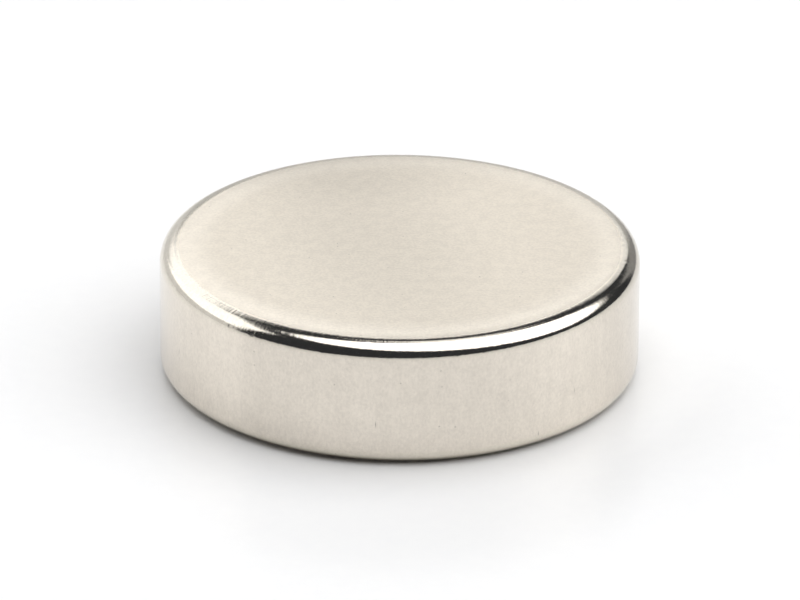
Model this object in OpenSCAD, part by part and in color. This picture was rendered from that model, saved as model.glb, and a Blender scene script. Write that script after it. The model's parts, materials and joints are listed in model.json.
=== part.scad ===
// Disc magnet: one plated, sintered disc with flat faces that roll off into rounded edges.
// It lies on its lower face. The origin is the middle of that face, and +Z is the disc's axis.

/* [Disc] */
// Diameter across the side wall
disc_d = 22; // [12:0.5:40]
// Thickness from face to face
disc_t = 6; // [4:0.25:12]

/* [Edges] */
// Radius of the rounded edge round the upper face
top_edge_r = 0.7; // [0.3:0.05:1.2]
// Radius of the rounded edge round the lower face
bottom_edge_r = 0.7; // [0.3:0.05:1.2]

/* [Faces] */
// Width of the shallow roll-off between a flat face and its rounded edge
rolloff_w = 1.6; // [0.8:0.1:3]
// Radius of the long arc that the roll-off follows in section
rolloff_r = 26; // [15:1:60]

/* [Hidden] */
$fn = 144;
disc_r = disc_d / 2;
mid_z = disc_t / 2;

// Radius of the flat part of a face whose edge has the given radius
function flat_r(edge_r) = disc_r - edge_r - rolloff_w;

// Height of the middle of the edge's arc, which touches both the roll-off's arc and the side wall
function edge_z(edge_r) = mid_z - rolloff_r + sqrt(pow(rolloff_r - edge_r, 2) - pow(rolloff_w, 2));

// Angle that the roll-off's arc turns through before the edge's arc takes over
function rolloff_angle(edge_r) = asin(rolloff_w / (rolloff_r - edge_r));

// Half of the disc's section, from the mid-plane up to a face, to the right of the axis
module half_section(edge_r) {
    wall_h = edge_z(edge_r);
    square([flat_r(edge_r), mid_z]);
    square([disc_r, wall_h]);
    translate([disc_r - edge_r, wall_h]) circle(r = edge_r);
    intersection() {
        translate([flat_r(edge_r), mid_z - rolloff_r]) circle(r = rolloff_r);
        translate([flat_r(edge_r), 0]) square([rolloff_r * sin(rolloff_angle(edge_r)), mid_z]);
    }
}

// The whole magnet: its section turned round the axis
module disc_magnet() {
    color([0.87, 0.84, 0.79])
    rotate_extrude()
    translate([0, mid_z]) {
        half_section(top_edge_r);
        mirror([0, 1]) half_section(bottom_edge_r);
    }
}

disc_magnet();
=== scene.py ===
# Disc magnet: one nickel-plated disc lying flat on a pale table, under soft boxes

import bpy
import bmesh
import json
import math
import random
from mathutils import Matrix, Vector, kdtree, noise


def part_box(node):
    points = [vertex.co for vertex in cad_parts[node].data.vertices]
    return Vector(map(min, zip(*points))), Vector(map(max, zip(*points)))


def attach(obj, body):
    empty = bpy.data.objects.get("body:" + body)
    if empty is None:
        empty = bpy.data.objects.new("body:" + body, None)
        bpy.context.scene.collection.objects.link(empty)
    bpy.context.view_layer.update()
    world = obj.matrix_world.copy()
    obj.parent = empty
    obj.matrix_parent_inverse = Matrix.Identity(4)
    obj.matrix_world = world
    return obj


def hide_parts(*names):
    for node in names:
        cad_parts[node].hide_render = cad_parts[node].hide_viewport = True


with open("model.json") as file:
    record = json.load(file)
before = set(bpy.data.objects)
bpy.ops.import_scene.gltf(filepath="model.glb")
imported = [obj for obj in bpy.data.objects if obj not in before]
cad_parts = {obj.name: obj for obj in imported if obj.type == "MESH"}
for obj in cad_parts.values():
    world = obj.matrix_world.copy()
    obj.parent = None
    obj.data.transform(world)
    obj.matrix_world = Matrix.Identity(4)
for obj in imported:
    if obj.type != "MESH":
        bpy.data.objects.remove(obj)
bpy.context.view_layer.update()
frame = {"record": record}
mm = 0.001


# The view

viewSettings = {
    "azimuth": 0.0,          # degrees round the disc, 0 looks along +Y
    "elevation": 24.63,      # degrees above the table
    "distance": 376.8 * mm,
    "lookAt": (0.016 * mm, 6.994 * mm, 0.0),
    "roll": 0.4,             # degrees, anticlockwise
    "lens": 361.9,           # mm
    "sensor": 36.0,          # mm
    "clip": (10 * mm, 10.0),
}


def addCamera(settings):
    azimuth, elevation = (math.radians(settings[key]) for key in ("azimuth", "elevation"))
    away = Vector((
        math.sin(azimuth) * math.cos(elevation),
        -math.cos(azimuth) * math.cos(elevation),
        math.sin(elevation),
    ))
    data = bpy.data.cameras.new("viewCamera")
    data.lens = settings["lens"]
    data.sensor_width = settings["sensor"]
    data.clip_start, data.clip_end = settings["clip"]
    camera = bpy.data.objects.new("viewCamera", data)
    bpy.context.scene.collection.objects.link(camera)
    place = Matrix.Translation(Vector(settings["lookAt"]) + away * settings["distance"])
    turn = away.to_track_quat("Z", "Y").to_matrix().to_4x4()
    roll = Matrix.Rotation(math.radians(settings["roll"]), 4, "Z")
    camera.matrix_world = place @ turn @ roll
    bpy.context.scene.camera = camera


addCamera(viewSettings)
print("camera placed")


# The disc's shape, turned from one half of its section

rim = next(mount for mount in frame["record"]["mounts"] if mount["name"] == "rim")
discShape = {
    "radius": rim["dims"]["r_mm"] * mm,
    "thickness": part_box("disc_magnet")[1].z,
    "edgeRadius": 0.7 * mm,       # rounded edge between a face and the side
    "rollOffWidth": 1.6 * mm,     # shallow fall at a face's margin
    "rollOffRadius": 26 * mm,
    "shoulderRadius": 1.6 * mm,   # eases the roll-off into the rounded edge
    "shoulderEnd": 15.0,          # degrees of slope where the rounded edge takes over
    "sectors": 32,                # the disc is turned one sector first, which is quicker
    "sectorSteps": 30,
    "flatSteps": 12,
    "rollOffSteps": 10,
    "shoulderSteps": 4,
    "upperEdgeSteps": 18,
    "lowerEdgeSteps": 12,
    "sideSteps": 14,
    "mergeDistance": 0.001 * mm,
    "sideStart": 1.02,            # edge radii from a face to where the side's finish starts
}


def runTo(bm, corner, place, steps):
    stride = (Vector(place) - corner.co) / steps
    for _ in range(steps):
        corner = bmesh.ops.extrude_vert_indiv(bm, verts=[corner])["verts"][0]
        corner.co += stride
    return corner


def turnRound(bm, corner, centre, angle, steps):
    made = bmesh.ops.spin(bm, geom=[corner], cent=centre, axis=(0, 1, 0), angle=angle, steps=steps)
    return next(item for item in made["geom_last"] if isinstance(item, bmesh.types.BMVert))


def drawSection(bm, shape):
    radius, top = shape["radius"], shape["thickness"]
    edge, shoulder, roll = shape["edgeRadius"], shape["shoulderRadius"], shape["rollOffRadius"]
    flat = radius - edge - shape["rollOffWidth"]
    shoulderSlope = math.radians(shape["shoulderEnd"])
    rollSpan = shape["rollOffWidth"] - (shoulder - edge) * math.sin(shoulderSlope)
    rollSlope = math.asin(rollSpan / (roll - shoulder))
    # reach: from the axis to an arc's centre, fall: from the face to it
    shoulderReach = flat + (roll - shoulder) * math.sin(rollSlope)
    shoulderFall = roll - (roll - shoulder) * math.cos(rollSlope)
    edgeFall = shoulderFall - (shoulder - edge) * math.cos(shoulderSlope)
    shoulderBend, edgeBend = shoulderSlope - rollSlope, math.pi / 2 - shoulderSlope
    corner = bm.verts.new((0, 0, top))
    corner = runTo(bm, corner, (flat, 0, top), shape["flatSteps"])
    corner = turnRound(bm, corner, (flat, 0, top - roll), rollSlope, shape["rollOffSteps"])
    corner = turnRound(bm, corner, (shoulderReach, 0, top - shoulderFall), shoulderBend,
                       shape["shoulderSteps"])
    corner = turnRound(bm, corner, (radius - edge, 0, top - edgeFall), edgeBend, shape["upperEdgeSteps"])
    corner = runTo(bm, corner, (radius, 0, edgeFall), shape["sideSteps"])
    corner = turnRound(bm, corner, (radius - edge, 0, edgeFall), edgeBend, shape["lowerEdgeSteps"])
    corner = turnRound(bm, corner, (shoulderReach, 0, shoulderFall), shoulderBend, shape["shoulderSteps"])
    corner = turnRound(bm, corner, (flat, 0, roll), rollSlope, shape["rollOffSteps"])
    runTo(bm, corner, (0, 0, 0), shape["flatSteps"])


def turnDisc(shape):
    bm = bmesh.new()
    drawSection(bm, shape)
    axis, sectors = (0, 0, 1), shape["sectors"]
    sector = 2 * math.pi / sectors
    bmesh.ops.spin(bm, geom=bm.verts[:] + bm.edges[:], axis=axis, angle=sector, steps=shape["sectorSteps"])
    bmesh.ops.spin(bm, geom=bm.verts[:] + bm.edges[:] + bm.faces[:], axis=axis,
                   angle=sector * (sectors - 1), steps=sectors - 1, use_duplicate=True)
    bmesh.ops.remove_doubles(bm, verts=bm.verts, dist=shape["mergeDistance"])
    bmesh.ops.recalc_face_normals(bm, faces=bm.faces)
    return bm


discMesh = turnDisc(discShape)
print("disc turned,", len(discMesh.faces), "faces")


# Tumbling leaves the edges a little uneven, with small dents

wearSettings = {
    "waves": (                     # wavelength and depth
        (2.6 * mm, 0.006 * mm),
        (0.6 * mm, 0.0016 * mm),
    ),
    "fade": 0.5 * mm,              # the unevenness dies away this far into the face
    "dents": 90,
    "dentRadius": (0.07 * mm, 0.17 * mm),
    "dentDepth": 0.09,             # as a share of its radius
    "dentBend": (0.1, 1.4),        # radians down from the face, round the edge
    "upperDents": 0.6,             # share of them on the upper edge
    "seed": 7,
}


def edgeShare(place, shape, fade):
    inner = shape["radius"] - shape["edgeRadius"]
    distance = math.hypot(place.x, place.y)
    share = min(max((distance - inner + fade) / fade, 0), 1)
    return share * share * (3 - 2 * share)


def wearEdges(bm, shape, settings):
    for vert in bm.verts:
        share = edgeShare(vert.co, shape, settings["fade"])
        if share:
            depth = sum(
                size * (0.5 + 0.5 * noise.noise(vert.co / length))
                for length, size in settings["waves"]
            )
            vert.co -= vert.normal * depth * share


def dentEdges(bm, shape, settings):
    random.seed(settings["seed"])
    edgeVerts = [vert for vert in bm.verts if edgeShare(vert.co, shape, settings["fade"]) == 1]
    tree = kdtree.KDTree(len(edgeVerts))
    for index, vert in enumerate(edgeVerts):
        tree.insert(vert.co, index)
    tree.balance()
    for _ in range(settings["dents"]):
        angle = random.uniform(0, 2 * math.pi)
        bend = random.uniform(*settings["dentBend"])
        radius = random.uniform(*settings["dentRadius"])
        reach = shape["radius"] - shape["edgeRadius"] * (1 - math.sin(bend))
        level = shape["edgeRadius"] * (1 - math.cos(bend))
        if random.random() < settings["upperDents"]:
            level = shape["thickness"] - level
        centre = Vector((reach * math.cos(angle), reach * math.sin(angle), level))
        for place, index, distance in tree.find_range(centre, radius):
            share = 1 - (distance / radius) ** 2
            vert = edgeVerts[index]
            vert.co -= vert.normal * settings["dentDepth"] * radius * share * share


discMesh.normal_update()
wearEdges(discMesh, discShape, wearSettings)
dentEdges(discMesh, discShape, wearSettings)
print("edges worn")


# The nickel plating

platingLook = {
    "light": (0.765, 0.715, 0.625, 1),
    "dark": (0.70, 0.65, 0.565, 1),
    "speck": (0.34, 0.31, 0.27, 1),
    "grainSize": 0.13 * mm,
    "grainNoise": (2.0, 0.55),     # detail and roughness
    "mottleSize": 0.6 * mm,
    "mottleNoise": (3.0, 0.6),
    "mottleShare": 0.4,
    "toneRange": (0.4, 0.6),
    "roughness": 0.11,
    "streakSpacing": 0.11 * mm,    # fine marks that run over the edge
    "streakLength": 0.22 * mm,
    "streakHeight": 0.006 * mm,
    "streakNoise": (3.0, 0.6),
    "speckSpacing": 0.6 * mm,
    "speckShare": 0.4,
    "speckSize": 0.05 * mm,
}
faceLook = {
    "light": (0.90, 0.83, 0.718, 1),
    "dark": (0.81, 0.745, 0.645, 1),
    "paintedShadePatches": (                   # painted shade: the face's colour is darkened softly in the middle and towards the back
        # place, half sizes, turn in degrees, shade in the middle
        ((-1.9 * mm, 2 * mm, 0), (8.2 * mm, 24 * mm, 10 * mm), -15, 0.81),
        ((-2 * mm, 9.5 * mm, 0), (9 * mm, 6 * mm, 40 * mm), 0, 0.90),
    ),
    "patchCore": 0.3,              # full shade out to this share of the half sizes
    "roughness": 0.42,
    "marginRoughness": 0.29,
    "grainHeight": 0.004 * mm,
    "marginStart": 8.2 * mm,       # the satin grows finer from here
    "marginEnd": 9.8 * mm,
    "polishStart": 10.08 * mm,     # and turns into the polished edge
    "polishEnd": 10.28 * mm,
}
sideLook = {
    "light": (0.815, 0.754, 0.664, 1),
    "dark": (0.68, 0.627, 0.554, 1),
    "bandSpacing": 0.5 * mm,       # soft upright bands
    "bandLength": 4 * mm,
    "bandShare": 0.3,
    "streakShare": 0.4,
    "bandRange": (0.35, 0.65),
    "scratchShare": 0.6,
    "scratchSpacing": 0.6 * mm,
    "scratchSize": 0.035 * mm,
    "scratchStretch": (1, 1, 0.16),
}


def addNode(tree, kind, inputs=None, **settings):
    node = tree.nodes.new(kind)
    for name, value in settings.items():
        setattr(node, name, value)
    for name, value in (inputs or {}).items():
        if isinstance(value, bpy.types.NodeSocket):
            tree.links.new(value, node.inputs[name])
        else:
            node.inputs[name].default_value = value
    return node


def calculate(tree, operation, first, second):
    return addNode(tree, "ShaderNodeMath", {0: first, 1: second}, operation=operation).outputs[0]


def calculateVector(tree, operation, inputs, output=0):
    return addNode(tree, "ShaderNodeVectorMath", inputs, operation=operation).outputs[output]


def mapRange(tree, value, fromMin, fromMax, toMin=0.0, toMax=1.0, kind="LINEAR"):
    return addNode(tree, "ShaderNodeMapRange", {
        "Value": value, "From Min": fromMin, "From Max": fromMax, "To Min": toMin, "To Max": toMax,
    }, interpolation_type=kind).outputs["Result"]


def mixValues(tree, factor, first, second):
    return addNode(tree, "ShaderNodeMix", {0: factor, 2: first, 3: second}).outputs[0]


def mixColours(tree, factor, first, second):
    return addNode(tree, "ShaderNodeMix", {0: factor, 6: first, 7: second}, data_type="RGBA").outputs[2]


def addNoise(tree, vector, size, detail, roughness):
    scale = calculate(tree, "DIVIDE", 1.0, size)
    return addNode(tree, "ShaderNodeTexNoise", {
        "Vector": vector, "Scale": scale, "Detail": detail, "Roughness": roughness,
    }).outputs[0]


def newGroup(name, inputs, outputs):
    group = bpy.data.node_groups.new(name, "ShaderNodeTree")
    for label, kind in inputs:
        group.interface.new_socket(label, in_out="INPUT", socket_type="NodeSocket" + kind)
    for label in outputs:
        group.interface.new_socket(label, in_out="OUTPUT", socket_type="NodeSocketFloat")
    given = group.nodes.new("NodeGroupInput")
    result = group.nodes.new("NodeGroupOutput")
    return group, given.outputs, result.inputs


def useGroup(tree, group, inputs):
    return addNode(tree, "ShaderNodeGroup", inputs, node_tree=group).outputs


def levelPart(tree, vector):
    parts = addNode(tree, "ShaderNodeSeparateXYZ", {0: vector}).outputs
    return addNode(tree, "ShaderNodeCombineXYZ", {"X": parts["X"], "Y": parts["Y"]}).outputs[0], parts["Z"]


def makeRimBlend():
    # 0 inside the start radius, 1 past the end radius
    group, given, result = newGroup("rimBlend", [
        ("Vector", "Vector"), ("Start", "Float"), ("End", "Float"),
    ], ["Blend"])
    level = levelPart(group, given["Vector"])[0]
    radius = calculateVector(group, "LENGTH", {0: level}, "Value")
    blend = mapRange(group, radius, given["Start"], given["End"], kind="SMOOTHSTEP")
    group.links.new(blend, result["Blend"])
    return group


def makePlatingGrain(look):
    # fine crystal grain over a broader, weaker mottle
    group, given, result = newGroup("platingGrain", [
        ("Vector", "Vector"), ("Grain size", "Float"), ("Mottle size", "Float"),
    ], ["Height", "Tone"])
    grain = addNoise(group, given["Vector"], given["Grain size"], *look["grainNoise"])
    mottle = addNoise(group, given["Vector"], given["Mottle size"], *look["mottleNoise"])
    group.links.new(grain, result["Height"])
    group.links.new(mixValues(group, look["mottleShare"], grain, mottle), result["Tone"])
    return group


def makeCrossStreaks(look):
    # marks that run over the edge and down the side, side by side round the disc
    group, given, result = newGroup("crossStreaks", [
        ("Vector", "Vector"), ("Radius", "Float"), ("Spacing", "Float"), ("Length", "Float"),
    ], ["Height"])
    level, rise = levelPart(group, given["Vector"])
    unit = calculateVector(group, "NORMALIZE", {0: level})
    turns = calculate(group, "DIVIDE", given["Radius"], given["Spacing"])
    around = calculateVector(group, "SCALE", {0: unit, "Scale": turns})
    climb = calculate(group, "DIVIDE", rise, given["Length"])
    upward = addNode(group, "ShaderNodeCombineXYZ", {"Z": climb}).outputs[0]
    place = calculateVector(group, "ADD", {0: around, 1: upward})
    group.links.new(addNoise(group, place, 1.0, *look["streakNoise"]), result["Height"])
    return group


def makePinSpecks():
    # sparse dots, drawn out where the stretch is under 1
    group, given, result = newGroup("pinSpecks", [
        ("Vector", "Vector"), ("Stretch", "Vector"),
        ("Spacing", "Float"), ("Share", "Float"), ("Size", "Float"),
    ], ["Mask"])
    place = calculateVector(group, "MULTIPLY", {0: given["Vector"], 1: given["Stretch"]})
    scale = calculate(group, "DIVIDE", 1.0, given["Spacing"])
    cells = addNode(group, "ShaderNodeTexVoronoi", {"Vector": place, "Scale": scale}).outputs
    near = calculate(group, "MULTIPLY", cells["Distance"], given["Spacing"])
    dot = mapRange(group, near, given["Size"], 0.0, kind="SMOOTHSTEP")
    pick = addNode(group, "ShaderNodeSeparateColor", {0: cells["Color"]}).outputs[0]
    chosen = calculate(group, "LESS_THAN", pick, given["Share"])
    group.links.new(calculate(group, "MULTIPLY", dot, chosen), result["Mask"])
    return group


# painted shade: a soft mask for darkening the face's colour
def makePaintedShadePatch(look):
    # 1 in the middle, fading to 0 at the given half sizes
    group, given, result = newGroup("paintedShadePatch", [
        ("Vector", "Vector"), ("Place", "Vector"), ("Size", "Vector"), ("Turn", "Float"),
    ], ["Mask"])
    turned = addNode(group, "ShaderNodeVectorRotate", {
        "Vector": given["Vector"], "Center": given["Place"], "Angle": given["Turn"],
    }, rotation_type="Z_AXIS")
    offset = calculateVector(group, "SUBTRACT", {0: turned.outputs[0], 1: given["Place"]})
    share = calculateVector(group, "DIVIDE", {0: offset, 1: given["Size"]})
    length = calculateVector(group, "LENGTH", {0: share}, "Value")
    group.links.new(mapRange(group, length, 1.0, look["patchCore"], kind="SMOOTHSTEP"), result["Mask"])
    return group


rimBlend = makeRimBlend()
platingGrain = makePlatingGrain(platingLook)
crossStreaks = makeCrossStreaks(platingLook)
pinSpecks = makePinSpecks()
paintedShadePatch = makePaintedShadePatch(faceLook)


def startNickel(name, look):
    material = bpy.data.materials.new(name)
    material.use_nodes = True
    tree = material.node_tree
    shader = tree.nodes["Principled BSDF"]
    shader.inputs["Metallic"].default_value = 1
    shader.inputs["Roughness"].default_value = look["roughness"]
    place = addNode(tree, "ShaderNodeTexCoord").outputs["Object"]
    grain = useGroup(tree, platingGrain, {
        "Vector": place, "Grain size": look["grainSize"], "Mottle size": look["mottleSize"],
    })
    tone = mapRange(tree, grain["Tone"], *look["toneRange"])
    streaks = useGroup(tree, crossStreaks, {
        "Vector": place, "Radius": discShape["radius"], "Spacing": look["streakSpacing"],
        "Length": look["streakLength"],
    })["Height"]
    return material, tree, shader.inputs, place, grain["Height"], tone, streaks


def endNickel(tree, inputs, place, look, colour, streaks, normal=None):
    specks = useGroup(tree, pinSpecks, {
        "Vector": place, "Stretch": (1, 1, 1), "Spacing": look["speckSpacing"],
        "Share": look["speckShare"], "Size": look["speckSize"],
    })["Mask"]
    tree.links.new(mixColours(tree, specks, colour, look["speck"]), inputs["Base Color"])
    bump = addNode(tree, "ShaderNodeBump", {"Height": streaks, "Distance": look["streakHeight"]})
    if normal:
        tree.links.new(normal, bump.inputs["Normal"])
    tree.links.new(bump.outputs[0], inputs["Normal"])


def makeSatinNickel(look, face):
    material, tree, inputs, place, grain, tone, streaks = startNickel("satinNickel", look)
    margin = useGroup(tree, rimBlend, {
        "Vector": place, "Start": face["marginStart"], "End": face["marginEnd"],
    })["Blend"]
    polish = useGroup(tree, rimBlend, {
        "Vector": place, "Start": face["polishStart"], "End": face["polishEnd"],
    })["Blend"]
    satin = mixColours(tree, tone, face["dark"], face["light"])
    # painted shade: each patch darkens the satin colour towards its middle
    for centre, halfSizes, turn, shade in face["paintedShadePatches"]:
        mask = useGroup(tree, paintedShadePatch, {
            "Vector": place, "Place": centre, "Size": halfSizes, "Turn": math.radians(turn),
        })["Mask"]
        shades = mapRange(tree, mask, 0.0, 1.0, 1.0, shade)
        satin = calculateVector(tree, "SCALE", {0: satin, "Scale": shades})
    colour = mixColours(tree, polish, satin, mixColours(tree, tone, look["dark"], look["light"]))
    satinRoughness = mapRange(tree, margin, 0.0, 1.0, face["roughness"], face["marginRoughness"])
    tree.links.new(mixValues(tree, polish, satinRoughness, look["roughness"]), inputs["Roughness"])
    depth = calculate(tree, "MULTIPLY", grain, mapRange(tree, polish, 0.0, 1.0, 1.0, 0.0))
    grainBump = addNode(tree, "ShaderNodeBump", {"Height": depth, "Distance": face["grainHeight"]})
    edgeStreaks = calculate(tree, "MULTIPLY", streaks, polish)
    endNickel(tree, inputs, place, look, colour, edgeStreaks, grainBump.outputs[0])
    return material


def makePolishedNickel(look):
    material, tree, inputs, place, _, tone, streaks = startNickel("polishedNickel", look)
    endNickel(tree, inputs, place, look, mixColours(tree, tone, look["dark"], look["light"]), streaks)
    return material


def makeSideNickel(look, side):
    material, tree, inputs, place, _, tone, streaks = startNickel("sideNickel", look)
    bands = useGroup(tree, crossStreaks, {
        "Vector": place, "Radius": discShape["radius"], "Spacing": side["bandSpacing"],
        "Length": side["bandLength"],
    })["Height"]
    banded = mixValues(tree, side["bandShare"], tone, mapRange(tree, bands, *side["bandRange"]))
    banded = mixValues(tree, side["streakShare"], banded, mapRange(tree, streaks, *side["bandRange"]))
    scratches = useGroup(tree, pinSpecks, {
        "Vector": place, "Stretch": side["scratchStretch"], "Spacing": side["scratchSpacing"],
        "Share": side["scratchShare"], "Size": side["scratchSize"],
    })["Mask"]
    plain = mixColours(tree, banded, side["dark"], side["light"])
    endNickel(tree, inputs, place, look, mixColours(tree, scratches, plain, look["speck"]), streaks)
    return material


finishes = [
    makeSatinNickel(platingLook, faceLook),
    makePolishedNickel(platingLook),
    makeSideNickel(platingLook, sideLook),
]
satinFinish, polishedFinish, sideFinish = range(len(finishes))
print("plating made")


def finishOf(centre, shape):
    sideStart = shape["edgeRadius"] * shape["sideStart"]
    if math.hypot(centre.x, centre.y) < shape["radius"] - shape["edgeRadius"]:
        return satinFinish
    if sideStart < centre.z < shape["thickness"] - sideStart:
        return sideFinish
    return polishedFinish


mesh = bpy.data.meshes.new("magnetDisc")
for face in discMesh.faces:
    face.smooth = True
    face.material_index = finishOf(face.calc_center_median(), discShape)
discMesh.to_mesh(mesh)
discMesh.free()
for finish in finishes:
    mesh.materials.append(finish)
magnetDisc = bpy.data.objects.new("magnetDisc", mesh)
bpy.context.scene.collection.objects.link(magnetDisc)
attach(magnetDisc, "root")
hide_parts("disc_magnet")
print("magnet made")


# The table and the lights. Azimuth 0 is towards the camera's side, 90 is +X and 180 is behind.

studio = {
    "tableHalf": 1.5,            # metres from the middle to a side
    "tableLight": (0.855, 0.855, 0.855, 1),
    "tableDark": (0.845, 0.845, 0.848, 1),
    "tableGrain": 0.9 * mm,
    "tableGrainHeight": 0.02 * mm,
    "tableNoise": (3.0, 0.6),    # detail and roughness
    "tableToneRange": (0.35, 0.65),
    "tableRoughness": 0.35,
    "roomColour": (0.033, 0.035, 0.040),
    "ovalBox": {
        "centre": (0.72, -0.035, 0.6),
        "width": 2.0,
        "depth": 1.14,
        "brightness": 2.25,
    },
    "panelDistance": 0.8,
    "panels": [
        # name, azimuth, spread to each side, lowest and highest elevation, brightness
        ("leftPanel", -115, 35, 19, 54, 1.6),
        ("leftApron", -115, 35, 0, 19, 0.75),
        ("backLeftPanel", -156, 6, 21, 44, 1.5),
        ("backInnerPanel", -165.5, 3.5, 21, 40.5, 1.5),
        ("backMiddlePanel", -172.5, 3.5, 22, 36.5, 1.5),
        ("backLeftApron", -160, 10, 0, 21, 0.72),
        ("backMiddleApron", -173, 3, 0, 20, 0.56),
        ("backHighPanel", 179, 5, 27, 32.5, 2.4),
        ("backPanel", 179, 5, 21.5, 27, 1.2),
        ("backApron", 177, 7, 1, 21.5, 0.62),
        ("backEdgePanel", 169.75, 4.25, 20, 32, 1.0),
        ("backEdgeApron", 167, 3.5, 1, 20, 0.45),
        ("rearCard", 152, 11.5, 1, 25, 0.25),
        ("topCard", 174, 8, 47, 56, 1.2),
    ],
}


def addTable(settings):
    bm = bmesh.new()
    bmesh.ops.create_grid(bm, x_segments=1, y_segments=1, size=settings["tableHalf"])
    mesh = bpy.data.meshes.new("table")
    bm.to_mesh(mesh)
    bm.free()
    table = bpy.data.objects.new("table", mesh)
    bpy.context.scene.collection.objects.link(table)
    material = bpy.data.materials.new("tableTop")
    material.use_nodes = True
    tree = material.node_tree
    inputs = tree.nodes["Principled BSDF"].inputs
    inputs["Roughness"].default_value = settings["tableRoughness"]
    place = addNode(tree, "ShaderNodeTexCoord").outputs["Object"]
    grain = addNoise(tree, place, settings["tableGrain"], *settings["tableNoise"])
    tone = mapRange(tree, grain, *settings["tableToneRange"])
    colour = mixColours(tree, tone, settings["tableDark"], settings["tableLight"])
    tree.links.new(colour, inputs["Base Color"])
    bump = addNode(tree, "ShaderNodeBump", {"Height": grain, "Distance": settings["tableGrainHeight"]})
    tree.links.new(bump.outputs[0], inputs["Normal"])
    mesh.materials.append(material)


def addLight(name, shape, place, width, height, brightness):
    data = bpy.data.lights.new(name, "AREA")
    data.shape = shape
    data.size, data.size_y = width, height
    area = width * height * (math.pi / 4 if shape == "ELLIPSE" else 1)
    data.energy = math.pi * brightness * area    # so that its surface has this brightness
    light = bpy.data.objects.new(name, data)
    light.matrix_world = place
    bpy.context.scene.collection.objects.link(light)


def addPanel(settings, name, azimuth, spread, low, high, brightness):
    distance = settings["panelDistance"]
    azimuth, spread, low, high = (math.radians(angle) for angle in (azimuth, spread, low, high))
    bottom, top = distance * math.tan(low), distance * math.tan(high)
    outward = Vector((math.sin(azimuth), -math.cos(azimuth), 0))
    middle = outward * distance + Vector((0, 0, (bottom + top) / 2))
    place = Matrix.Translation(middle) @ outward.to_track_quat("Z", "Y").to_matrix().to_4x4()
    addLight(name, "RECTANGLE", place, 2 * distance * math.tan(spread), top - bottom, brightness)


addTable(studio)
oval = studio["ovalBox"]
addLight("ovalBox", "ELLIPSE", Matrix.Translation(oval["centre"]), oval["width"], oval["depth"],
         oval["brightness"])
for panel in studio["panels"]:
    addPanel(studio, *panel)

world = bpy.data.worlds.new("room")
bpy.context.scene.world = world
world.use_nodes = True
world.node_tree.nodes["Background"].inputs["Color"].default_value = (*studio["roomColour"], 1)
bpy.context.scene.view_settings.view_transform = "Standard"
print("table and lights placed")
